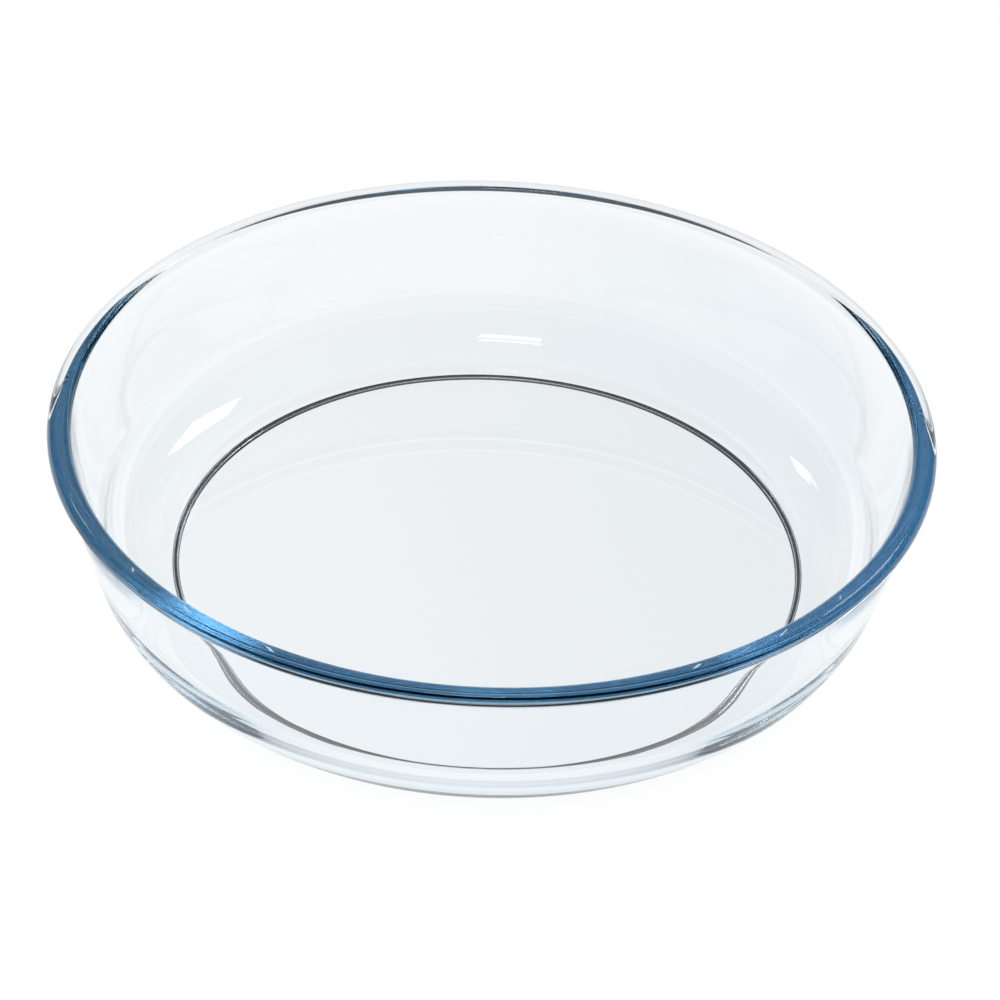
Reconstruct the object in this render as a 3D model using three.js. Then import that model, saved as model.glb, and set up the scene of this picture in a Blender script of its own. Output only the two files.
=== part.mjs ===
// Round cake dish in pressed glass: one moulding, revolved about the Z axis.
// Millimetres, +Z up. The origin is on the table, under the middle of the dish.
import * as THREE from 'three';

// Driving dimensions
const rimDiameter = 260; // over the edge of the rim
const dishHeight = 57; // table to the top of the rim
const outsideDraft = 15.5; // degrees that the outside of the wall leans out from upright
const insideDraft = 14; // the same for the inside of the wall
const rimWidth = 6.3; // from the edge of the rim to the inside of the wall
const rimSlope = 2.9; // degrees that the top of the rim falls inwards
const rimEdge = 4.7; // height of the edge of the rim
const rimEdgeLean = 8.6; // degrees that this edge leans in under the rim
const rimUnderside = 4.4; // degrees that the underside of the rim falls inwards
const rimOverhang = 1.2; // from the edge of the rim in to the outside of the wall
const edgeTopRound = 0.62 * rimEdge; // radii of the rim's corners, limited by its faces
const edgeLowRound = 0.7 * rimOverhang;
const hollowRound = 0.25 * rimOverhang;
const insideRound = 2.6;
const heelRadius = 21.4; // round from the wall to the underside, outside
const cornerRadius = 22.7; // round from the wall to the floor, inside
const baseThickness = 5.3;
const footRibDiameter = 188.4; // over the middle of the rib that the dish stands on
const footRibHeight = 0.7;
const footRibWidth = 1.8; // where it leaves the underside
const footRibFlat = 0.9; // where it stands on the table, before its corners are rounded
const footRibRound = 0.3;

// Fineness of the facets
const facetsAround = 96;
const wideArcStep = 7.5; // degrees a facet, on the heel and the inside corner
const tightArcStep = 22; // degrees a facet, on the rim and the foot rib

const radians = THREE.MathUtils.degToRad;

// An arc of the section, as points from one angle to the other. Angles are in radians.
function arc(centre, radius, from, to, facetDegrees) {
  const steps = Math.ceil(Math.abs(to - from) / radians(facetDegrees));
  const curve = new THREE.EllipseCurve(centre.x, centre.y, radius, radius, from, to, to < from);
  return curve.getPoints(steps);
}

// A corner of the section between its two neighbours, rounded: the points of the round.
function roundedCorner(before, corner, after, radius) {
  const back = before.clone().sub(corner).normalize();
  const on = after.clone().sub(corner).normalize();
  const halfAngle = Math.acos(back.dot(on)) / 2;
  const toCentre = back.clone().add(on).setLength(radius / Math.sin(halfAngle));
  const centre = corner.clone().add(toCentre);
  const reach = radius / Math.tan(halfAngle);
  const start = corner.clone().addScaledVector(back, reach).sub(centre);
  const turn = back.cross(on) > 0 ? 2 * halfAngle - Math.PI : Math.PI - 2 * halfAngle;
  return arc(centre, radius, start.angle(), start.angle() + turn, tightArcStep);
}

// Where a round of this radius sits, at a height, to touch a slanted wall line from inside.
function roundCentre(wallPoint, draft, radius, height) {
  const lean = (height - wallPoint.y) * Math.sin(draft);
  return new THREE.Vector2(wallPoint.x + (lean - radius) / Math.cos(draft), height);
}

// The corners of the rim, from the outside of the wall over the edge to the inside of the wall.
// The round at the top of the edge is what reaches the rim's diameter and the dish's height.
function rimCorners() {
  const edge = rimDiameter / 2;
  const edgeLean = radians(rimEdgeLean);
  const topLean = radians(rimSlope);
  const edgeFacing = new THREE.Vector2(Math.cos(edgeLean), -Math.sin(edgeLean));
  const topFacing = new THREE.Vector2(-Math.sin(topLean), Math.cos(topLean));
  const reach = edgeTopRound / (1 + edgeFacing.dot(topFacing));
  const top = new THREE.Vector2(edge - edgeTopRound, dishHeight - edgeTopRound);
  top.addScaledVector(edgeFacing, reach);
  top.addScaledVector(topFacing, reach);

  const low = new THREE.Vector2(top.x - rimEdge * Math.tan(edgeLean), top.y - rimEdge);
  const outsideWall = edge - rimOverhang;
  const insideWall = edge - rimWidth;
  const undersideFall = (low.x - outsideWall) * Math.tan(radians(rimUnderside));
  const topFall = (top.x - insideWall) * Math.tan(topLean);
  const hollow = new THREE.Vector2(outsideWall, low.y - undersideFall);
  const inside = new THREE.Vector2(insideWall, top.y - topFall);
  return { hollow, low, top, inside };
}

// The section of the dish in x (radius) and y (height): from the axis under the base,
// out over the foot, up the outside, over the rim, down the inside and back to the axis.
function dishSection() {
  const outsideLean = radians(outsideDraft);
  const insideLean = radians(insideDraft);
  const level = Math.PI / 2;
  const rim = rimCorners();

  // Heel outside, corner inside: each touches its wall line and a level face.
  const floorHeight = footRibHeight + baseThickness;
  const heel = roundCentre(rim.hollow, outsideLean, heelRadius, footRibHeight + heelRadius);
  const corner = roundCentre(rim.inside, insideLean, cornerRadius, floorHeight + cornerRadius);
  const heelArc = arc(heel, heelRadius, -level, -outsideLean, wideArcStep);
  const cornerArc = arc(corner, cornerRadius, -insideLean, -level, wideArcStep);
  const wallFoot = heelArc[heelArc.length - 1];

  // The foot rib, from its inner side to its outer side.
  const rib = footRibDiameter / 2;
  const ribCorners = [
    new THREE.Vector2(rib - footRibWidth / 2, footRibHeight),
    new THREE.Vector2(rib - footRibFlat / 2, 0),
    new THREE.Vector2(rib + footRibFlat / 2, 0),
    new THREE.Vector2(rib + footRibWidth / 2, footRibHeight),
  ];
  const underside = new THREE.Vector2(0, footRibHeight);

  return [
    underside,
    ...roundedCorner(underside, ribCorners[0], ribCorners[1], footRibRound),
    ...roundedCorner(ribCorners[0], ribCorners[1], ribCorners[2], footRibRound),
    ...roundedCorner(ribCorners[1], ribCorners[2], ribCorners[3], footRibRound),
    ...roundedCorner(ribCorners[2], ribCorners[3], heelArc[0], footRibRound),
    ...heelArc,
    ...roundedCorner(wallFoot, rim.hollow, rim.low, hollowRound),
    ...roundedCorner(rim.hollow, rim.low, rim.top, edgeLowRound),
    ...roundedCorner(rim.low, rim.top, rim.inside, edgeTopRound),
    ...roundedCorner(rim.top, rim.inside, cornerArc[0], insideRound),
    ...cornerArc,
    new THREE.Vector2(0, floorHeight),
  ];
}

const clearGlass = new THREE.MeshStandardMaterial({
  color: 0xdcecf4,
  roughness: 0.04,
  metalness: 0,
  transparent: true,
  opacity: 0.35,
});

const glassDish = new THREE.Mesh(new THREE.LatheGeometry(dishSection(), facetsAround), clearGlass);
glassDish.name = 'glass_dish';
glassDish.rotation.x = Math.PI / 2; // the lathe turns about Y, the dish stands along Z

const cakeDish = new THREE.Group();
cakeDish.add(glassDish);

export default cakeDish;
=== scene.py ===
import math

import bmesh
import bpy
from mathutils import Matrix, Vector


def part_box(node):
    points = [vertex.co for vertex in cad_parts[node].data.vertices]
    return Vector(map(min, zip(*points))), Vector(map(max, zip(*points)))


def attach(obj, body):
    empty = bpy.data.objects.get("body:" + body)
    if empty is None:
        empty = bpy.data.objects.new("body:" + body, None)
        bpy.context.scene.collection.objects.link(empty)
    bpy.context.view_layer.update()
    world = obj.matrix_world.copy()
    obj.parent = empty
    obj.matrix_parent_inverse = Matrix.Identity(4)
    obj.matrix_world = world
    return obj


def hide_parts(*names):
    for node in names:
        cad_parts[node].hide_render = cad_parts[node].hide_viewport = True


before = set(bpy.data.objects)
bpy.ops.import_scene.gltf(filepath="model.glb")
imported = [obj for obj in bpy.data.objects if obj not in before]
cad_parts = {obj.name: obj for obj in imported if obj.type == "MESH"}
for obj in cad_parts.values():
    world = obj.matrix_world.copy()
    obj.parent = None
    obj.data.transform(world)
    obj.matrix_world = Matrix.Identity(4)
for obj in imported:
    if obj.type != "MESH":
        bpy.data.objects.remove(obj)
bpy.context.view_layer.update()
print("frame loaded")


# one glass dish, in metres; its rim diameter and height come from the frame
dish = {
    "node": "glass_dish",
    "outsideDraft": math.radians(15.5),
    "insideDraft": math.radians(14),
    "rimWidth": 0.0064,  # edge of the rim to the inside of the wall
    "rimSlope": math.radians(2.84),  # fall of the top of the rim, inwards
    "rimEdge": 0.0042,
    "rimEdgeLean": math.radians(6.95),
    "rimUnderside": math.radians(3.12),
    "rimOverhang": 0.0012,  # edge of the rim to the outside of the wall
    "edgeTopRound": 0.00282,
    "edgeLowRound": 0.00126,
    "hollowRound": 0.00039,
    "insideRound": 0.00317,
    "throatDepth": 0.00115,  # the wall draws in a little just under the rim
    "throatHeight": 0.01954,  # how far under the rim that begins
    "throatRound": 0.4,  # a wide bend, so nothing seen through the wall jumps there
    "heelRadius": 0.0214,
    "cornerRadius": 0.0227,
    "baseThickness": 0.0053,
    "footRibRadius": 0.0942,
    "footRibHeight": 0.0007,
    "footRibWidth": 0.0018,
    "footRibFlat": 0.0009,
    "footRibRound": 0.0003,
    "arcStep": math.radians(3),  # one facet of the heel and the inside corner
    "fineArcStep": math.radians(4),  # one facet of the rim and the foot rib
    "flatStep": 0.005,  # widest facet along a straight stretch
    "turns": 360,  # facets around the dish
    "weld": 1e-6,  # points nearer than this become one
}


# these draw the section of the dish in the XZ plane, one stretch after the other
def drawLine(bm, pen, end, longest):
    away = Vector(end) - pen.co
    pieces = max(1, math.ceil(away.length / longest))
    for _ in range(pieces):
        made = bmesh.ops.extrude_vert_indiv(bm, verts=[pen])
        pen = made["verts"][0]
        bmesh.ops.translate(bm, verts=[pen], vec=away / pieces)
    return pen


def drawArc(bm, pen, centre, turn, facet):
    steps = max(2, math.ceil(abs(turn) / facet))
    made = bmesh.ops.spin(bm, geom=[pen], cent=centre, axis=(0, -1, 0), angle=turn, steps=steps)
    return next(g for g in made["geom_last"] if isinstance(g, bmesh.types.BMVert))


# a line up to a rounded corner, and round it towards the next point
def drawRound(bm, pen, corner, after, radius, shape):
    back = (pen.co - corner).normalized()
    on = (after - corner).normalized()
    half = back.angle(on) / 2
    centre = corner + (back + on).normalized() * (radius / math.sin(half))
    turn = math.copysign(math.pi - 2 * half, back.cross(on).y)
    pen = drawLine(bm, pen, corner + back * (radius / math.tan(half)), shape["flatStep"])
    facet = min(shape["fineArcStep"], shape["flatStep"] / radius)
    return drawArc(bm, pen, centre, turn, facet)


def roundCentre(wallPoint, draft, radius, height):
    lean = (height - wallPoint.z) * math.sin(draft)
    return Vector((wallPoint.x + (lean - radius) / math.cos(draft), 0, height))


# the four corners of the rim before they are rounded, from the outside in
def rimCorners(shape, rimRadius, height):
    lean, slope = shape["rimEdgeLean"], shape["rimSlope"]
    edgeFacing = Vector((math.cos(lean), 0, -math.sin(lean)))
    topFacing = Vector((-math.sin(slope), 0, math.cos(slope)))
    topRound = shape["edgeTopRound"]
    reach = topRound / (1 + edgeFacing.dot(topFacing))
    top = Vector((rimRadius - topRound, 0, height - topRound)) + (edgeFacing + topFacing) * reach
    low = top - Vector((shape["rimEdge"] * math.tan(lean), 0, shape["rimEdge"]))
    outsideWall = rimRadius - shape["rimOverhang"]
    insideWall = rimRadius - shape["rimWidth"]
    undersideFall = (low.x - outsideWall) * math.tan(shape["rimUnderside"])
    topFall = (top.x - insideWall) * math.tan(slope)
    hollow = Vector((outsideWall, 0, low.z - undersideFall))
    inside = Vector((insideWall, 0, top.z - topFall))
    return hollow, low, top, inside


def makeDish(shape):
    boxLow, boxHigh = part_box(shape["node"])
    rimRadius = (boxHigh[0] - boxLow[0]) / 2
    height = boxHigh[2] - boxLow[2]
    hollow, low, top, inside = rimCorners(shape, rimRadius, height)

    # heel outside, corner inside
    under = shape["footRibHeight"]
    floorHeight = under + shape["baseThickness"]
    outsideDraft, insideDraft = shape["outsideDraft"], shape["insideDraft"]
    heel = roundCentre(hollow, outsideDraft, shape["heelRadius"], under + shape["heelRadius"])
    corner = roundCentre(inside, insideDraft, shape["cornerRadius"], floorHeight + shape["cornerRadius"])
    cornerFacing = Vector((math.cos(insideDraft), 0, -math.sin(insideDraft)))
    cornerStart = corner + cornerFacing * shape["cornerRadius"]
    heelStart = Vector((heel.x, 0, under))
    quarter = math.pi / 2

    # the wall leaves its straight line at the foot of the throat, and meets the rim in the throat
    throatFoot = hollow - Vector((math.tan(outsideDraft), 0, 1)) * shape["throatHeight"]
    throat = hollow - Vector((1, 0, math.tan(shape["rimUnderside"]))) * shape["throatDepth"]

    # the foot rib, from its inner side to its outer side
    rib = shape["footRibRadius"]
    ribHalf = shape["footRibWidth"] / 2
    flatHalf = shape["footRibFlat"] / 2
    foot = [
        Vector((rib - ribHalf, 0, under)),
        Vector((rib - flatHalf, 0, 0)),
        Vector((rib + flatHalf, 0, 0)),
        Vector((rib + ribHalf, 0, under)),
        heelStart,
    ]

    bm = bmesh.new()
    pen = bm.verts.new((0, 0, under))
    for here, after in zip(foot, foot[1:]):
        pen = drawRound(bm, pen, here, after, shape["footRibRound"], shape)
    pen = drawLine(bm, pen, heelStart, shape["flatStep"])
    pen = drawArc(bm, pen, heel, quarter - outsideDraft, shape["arcStep"])
    pen = drawRound(bm, pen, throatFoot, throat, shape["throatRound"], shape)
    pen = drawRound(bm, pen, throat, low, shape["hollowRound"], shape)
    pen = drawRound(bm, pen, low, top, shape["edgeLowRound"], shape)
    pen = drawRound(bm, pen, top, inside, shape["edgeTopRound"], shape)
    pen = drawRound(bm, pen, inside, cornerStart, shape["insideRound"], shape)
    pen = drawLine(bm, pen, cornerStart, shape["flatStep"])
    pen = drawArc(bm, pen, corner, insideDraft - quarter, shape["arcStep"])
    drawLine(bm, pen, (0, 0, floorHeight), shape["flatStep"])

    # one full turn of the section about the axis of the dish
    section = bm.verts[:] + bm.edges[:]
    bmesh.ops.spin(bm, geom=section, cent=(0, 0, 0), axis=(0, 0, 1),
                   angle=2 * math.pi, steps=shape["turns"], use_merge=True)
    bmesh.ops.remove_doubles(bm, verts=bm.verts[:], dist=shape["weld"])
    bmesh.ops.recalc_face_normals(bm, faces=bm.faces[:])
    for face in bm.faces:
        face.smooth = True
    mesh = bpy.data.meshes.new("pressedGlassDish")
    bm.to_mesh(mesh)
    bm.free()
    piece = bpy.data.objects.new("pressedGlassDish", mesh)
    bpy.context.collection.objects.link(piece)
    return piece


# clear glass, blue where it is thick
glass = {
    "ior": 1.474,
    "tint": (0.50, 0.80, 0.96, 1),
    "tintDensity": 12.0,  # per metre of glass
    "rippleScale": 40.0,
    "rippleDetail": 1.0,
    "rippleHeight": 0.000005,
    "lightBounces": 32,  # light runs a long way round inside the rim
}


def makeGlass(look):
    material = bpy.data.materials.new("clearPressedGlass")
    material.use_nodes = True
    nodes = material.node_tree.nodes
    links = material.node_tree.links
    shader = nodes["Principled BSDF"]
    shader.inputs["Base Color"].default_value = (1, 1, 1, 1)
    shader.inputs["Roughness"].default_value = 0
    shader.inputs["IOR"].default_value = look["ior"]
    shader.inputs["Transmission Weight"].default_value = 1
    absorb = nodes.new("ShaderNodeVolumeAbsorption")
    absorb.inputs["Color"].default_value = look["tint"]
    absorb.inputs["Density"].default_value = look["tintDensity"]
    links.new(absorb.outputs["Volume"], nodes["Material Output"].inputs["Volume"])
    # the slow ripple that pressing leaves in the surface
    place = nodes.new("ShaderNodeTexCoord")
    ripple = nodes.new("ShaderNodeTexNoise")
    ripple.inputs["Scale"].default_value = look["rippleScale"]
    ripple.inputs["Detail"].default_value = look["rippleDetail"]
    bump = nodes.new("ShaderNodeBump")
    bump.inputs["Distance"].default_value = look["rippleHeight"]
    links.new(place.outputs["Object"], ripple.inputs["Vector"])
    links.new(ripple.outputs["Fac"], bump.inputs["Height"])
    links.new(bump.outputs["Normal"], shader.inputs["Normal"])
    return material


# the camera stands where the photograph was taken from
view = {
    "elevation": math.radians(35.69),
    "distance": 0.9773,  # from the lens to the middle of the rim
    "focalPixels": 3329.0,
    "imagePixels": 1000.0,
    "rimMiddlePixel": (493.3, 417.3),
    "roll": math.radians(2.4),
    "sensorWidth": 36.0,
    "clipStart": 0.01,
    "aimBelowRim": 0.0024,  # the middle of the rim lies this far under its top
}


def makeCamera(shot, rimHeight):
    data = bpy.data.cameras.new("photoCamera")
    data.sensor_width = shot["sensorWidth"]
    data.lens = shot["focalPixels"] / shot["imagePixels"] * shot["sensorWidth"]
    data.clip_start = shot["clipStart"]
    camera = bpy.data.objects.new("photoCamera", data)
    bpy.context.collection.objects.link(camera)
    back = Vector((0, -math.cos(shot["elevation"]), math.sin(shot["elevation"])))
    middle = Vector((0, 0, rimHeight))
    right = Vector((1, 0, 0))
    up = back.cross(right)
    # turn the view until the middle of the rim falls on its own pixel of the photograph
    across = shot["rimMiddlePixel"][0] - shot["imagePixels"] / 2
    down = shot["rimMiddlePixel"][1] - shot["imagePixels"] / 2
    cosRoll, sinRoll = math.cos(shot["roll"]), math.sin(shot["roll"])
    aside = (cosRoll * across + sinRoll * down) / shot["focalPixels"]
    above = (sinRoll * across - cosRoll * down) / shot["focalPixels"]
    forward = (-back - right * aside - up * above).normalized()
    right = forward.cross(Vector((0, 0, 1))).normalized()
    up = right.cross(forward)
    xAxis = right * cosRoll + up * sinRoll
    yAxis = up * cosRoll - right * sinRoll
    turned = Matrix((xAxis, yAxis, -forward)).transposed().to_4x4()
    camera.matrix_world = Matrix.Translation(middle + back * shot["distance"]) @ turned
    bpy.context.scene.camera = camera


# a white table that glows, so the glass is seen in bright field; a painted soft shadow and a painted
# dark shadow line under the foot rib lie on it
table = {
    "size": 12.0,
    "gap": 0.0002,
    "glow": 1.0,
    "contactShadow": (0.03, 0.03, 0.033, 1),  # painted shadow: a dark line painted on the table where the foot rib stands
    "contactHalfWidth": 0.00105,
    "contactBlur": 0.0003,
    "shadeLeft": (0.955, 0.97, 0.985, 1),  # the soft shadow of the dish, thrown to the back
    "shadeRight": (0.89, 0.913, 0.935, 1),
    "shadeThrow": 0.082,
    "shadeRadius": 0.116,
    "shadeSpread": 0.02,  # how much wider it is at the far end
    "shadeBlur": 0.02,
}


# small nodes that the table and the room share; each gives back the socket with its result
def mathNode(nodes, links, operation, first, second=None):
    node = nodes.new("ShaderNodeMath")
    node.operation = operation
    for socket, value in zip(node.inputs, (first, second)):
        if isinstance(value, (int, float)):
            socket.default_value = value
        elif value is not None:
            links.new(value, socket)
    return node.outputs[0]


def rampNode(nodes, links, value, low, high):
    node = nodes.new("ShaderNodeMapRange")
    node.interpolation_type = "SMOOTHSTEP"
    node.inputs["From Min"].default_value = low
    node.inputs["From Max"].default_value = high
    links.new(value, node.inputs["Value"])
    return node.outputs["Result"]


def mixNode(nodes, links, factor, first, second):
    node = nodes.new("ShaderNodeMix")
    node.data_type = "RGBA"
    links.new(factor, node.inputs[0])
    # a Mix node has its two colours at 6 and 7, and the mixed colour at output 2
    for socket, colour in zip(node.inputs[6:8], (first, second)):
        if isinstance(colour, tuple):
            socket.default_value = colour
        else:
            links.new(colour, socket)
    return node.outputs[2]


def makeTable(look, contactRadius):
    bm = bmesh.new()
    bmesh.ops.create_grid(bm, x_segments=1, y_segments=1, size=look["size"] / 2)
    bmesh.ops.translate(bm, verts=bm.verts[:], vec=(0, 0, -look["gap"]))
    mesh = bpy.data.meshes.new("whiteTable")
    bm.to_mesh(mesh)
    bm.free()
    floor = bpy.data.objects.new("whiteTable", mesh)
    bpy.context.collection.objects.link(floor)
    material = bpy.data.materials.new("whiteTable")
    material.use_nodes = True
    nodes = material.node_tree.nodes
    links = material.node_tree.links
    shader = nodes["Principled BSDF"]
    shader.inputs["Base Color"].default_value = (0, 0, 0, 1)
    shader.inputs["Specular IOR Level"].default_value = 0
    shader.inputs["Emission Strength"].default_value = look["glow"]
    place = nodes.new("ShaderNodeTexCoord")
    split = nodes.new("ShaderNodeSeparateXYZ")
    links.new(place.outputs["Object"], split.inputs["Vector"])
    across, deep = split.outputs["X"], split.outputs["Y"]

    # the soft shadow: clear outside a rounded strip that widens to the back
    thrown = mathNode(nodes, links, "MINIMUM", deep, look["shadeThrow"])
    thrown = mathNode(nodes, links, "MAXIMUM", thrown, 0)
    beyond = mathNode(nodes, links, "SUBTRACT", deep, thrown)
    along = mathNode(nodes, links, "POWER", beyond, 2)
    aside = mathNode(nodes, links, "POWER", across, 2)
    reach = mathNode(nodes, links, "ADD", along, aside)
    reach = mathNode(nodes, links, "SQRT", reach)
    wider = mathNode(nodes, links, "MULTIPLY", thrown, look["shadeSpread"] / look["shadeThrow"])
    reach = mathNode(nodes, links, "SUBTRACT", reach, wider)
    half = look["shadeRadius"]
    lit = rampNode(nodes, links, reach, half - look["shadeBlur"], half)
    sideways = rampNode(nodes, links, across, -half, half)
    shade = mixNode(nodes, links, sideways, look["shadeLeft"], look["shadeRight"])
    colour = mixNode(nodes, links, lit, shade, (1, 1, 1, 1))

    # the painted shadow under the foot rib, a dark line painted on the table: clear away from its circle
    fromMiddle = nodes.new("ShaderNodeVectorMath")
    fromMiddle.operation = "LENGTH"
    links.new(place.outputs["Object"], fromMiddle.inputs[0])
    offset = mathNode(nodes, links, "SUBTRACT", fromMiddle.outputs["Value"], contactRadius)
    offset = mathNode(nodes, links, "ABSOLUTE", offset)
    dark = look["contactHalfWidth"] - look["contactBlur"] / 2
    clear = rampNode(nodes, links, offset, dark, dark + look["contactBlur"])
    colour = mixNode(nodes, links, clear, look["contactShadow"], colour)
    links.new(colour, shader.inputs["Emission Color"])
    mesh.materials.append(material)


# the room: white at the horizon, dim above, and not equally dim on every side
room = {
    "horizon": (1.0, 1.0, 1.0, 1),
    "left": (0.075, 0.17, 0.24, 1),
    "right": (0.012, 0.02, 0.022, 1),
    "behind": (0.15, 0.14, 0.135, 1),
    "front": (0.06, 0.065, 0.06, 1),
    "horizonTop": 0.02,  # height of the white band, as the sine of its elevation
    "dimFrom": 0.08,
}


def makeRoom(look):
    world = bpy.data.worlds.new("studio")
    bpy.context.scene.world = world
    world.use_nodes = True
    nodes = world.node_tree.nodes
    links = world.node_tree.links
    place = nodes.new("ShaderNodeTexCoord")
    split = nodes.new("ShaderNodeSeparateXYZ")
    links.new(place.outputs["Generated"], split.inputs["Vector"])
    sideways = rampNode(nodes, links, split.outputs["X"], -1, 1)
    lengthways = rampNode(nodes, links, split.outputs["Y"], -1, 1)
    sides = mixNode(nodes, links, sideways, look["left"], look["right"])
    ends = mixNode(nodes, links, lengthways, look["front"], look["behind"])
    sideShare = mathNode(nodes, links, "ABSOLUTE", split.outputs["X"])
    dim = mixNode(nodes, links, sideShare, ends, sides)
    rise = rampNode(nodes, links, split.outputs["Z"], look["horizonTop"], look["dimFrom"])
    sky = mixNode(nodes, links, rise, look["horizon"], dim)
    # the camera itself sees a white backdrop, and only the glass mirrors the dim room
    rays = nodes.new("ShaderNodeLightPath")
    backdrop = mixNode(nodes, links, rays.outputs["Is Camera Ray"], sky, look["horizon"])
    links.new(backdrop, nodes["Background"].inputs["Color"])


# soft boxes round the room, each turned to the dish
softBoxes = {
    "distance": 1.6,
    "overhead": {"azimuth": 190, "elevation": 76, "width": 0.30, "height": 0.16, "glow": 5.0},
    "backRight": {"azimuth": 52, "elevation": 45, "width": 0.36, "height": 0.42, "glow": 5.0},
    "backLeft": {"azimuth": -45, "elevation": 40, "width": 0.20, "height": 0.16, "glow": 4.0},
    "behind": {"azimuth": 0, "elevation": 42, "width": 1.2, "height": 0.6, "glow": 0.3},
}


def makeSoftBox(name, box, distance):
    azimuth = math.radians(box["azimuth"])
    elevation = math.radians(box["elevation"])
    level = math.cos(elevation)
    away = Vector((math.sin(azimuth) * level, math.cos(azimuth) * level, math.sin(elevation)))
    data = bpy.data.lights.new(name, "AREA")
    data.shape = "RECTANGLE"
    data.size = box["width"]
    data.size_y = box["height"]
    data.energy = box["glow"] * math.pi * box["width"] * box["height"]
    lamp = bpy.data.objects.new(name, data)
    bpy.context.collection.objects.link(lamp)
    lamp.location = away * distance
    lamp.rotation_euler = away.to_track_quat("Z", "Y").to_euler()


glassDish = makeDish(dish)
glassDish.data.materials.append(makeGlass(glass))
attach(glassDish, "root")
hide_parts(dish["node"])
print("dish made:", len(glassDish.data.polygons), "faces")

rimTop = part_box(dish["node"])[1][2]
makeCamera(view, rimTop - view["aimBelowRim"])
makeTable(table, dish["footRibRadius"])
makeRoom(room)
for name in ("overhead", "backRight", "backLeft", "behind"):
    makeSoftBox(name, softBoxes[name], softBoxes["distance"])
scene = bpy.context.scene
scene.view_settings.view_transform = "Standard"
scene.cycles.max_bounces = glass["lightBounces"]
scene.cycles.transmission_bounces = glass["lightBounces"]
scene.cycles.glossy_bounces = glass["lightBounces"]
print("camera, table, room and soft boxes made")
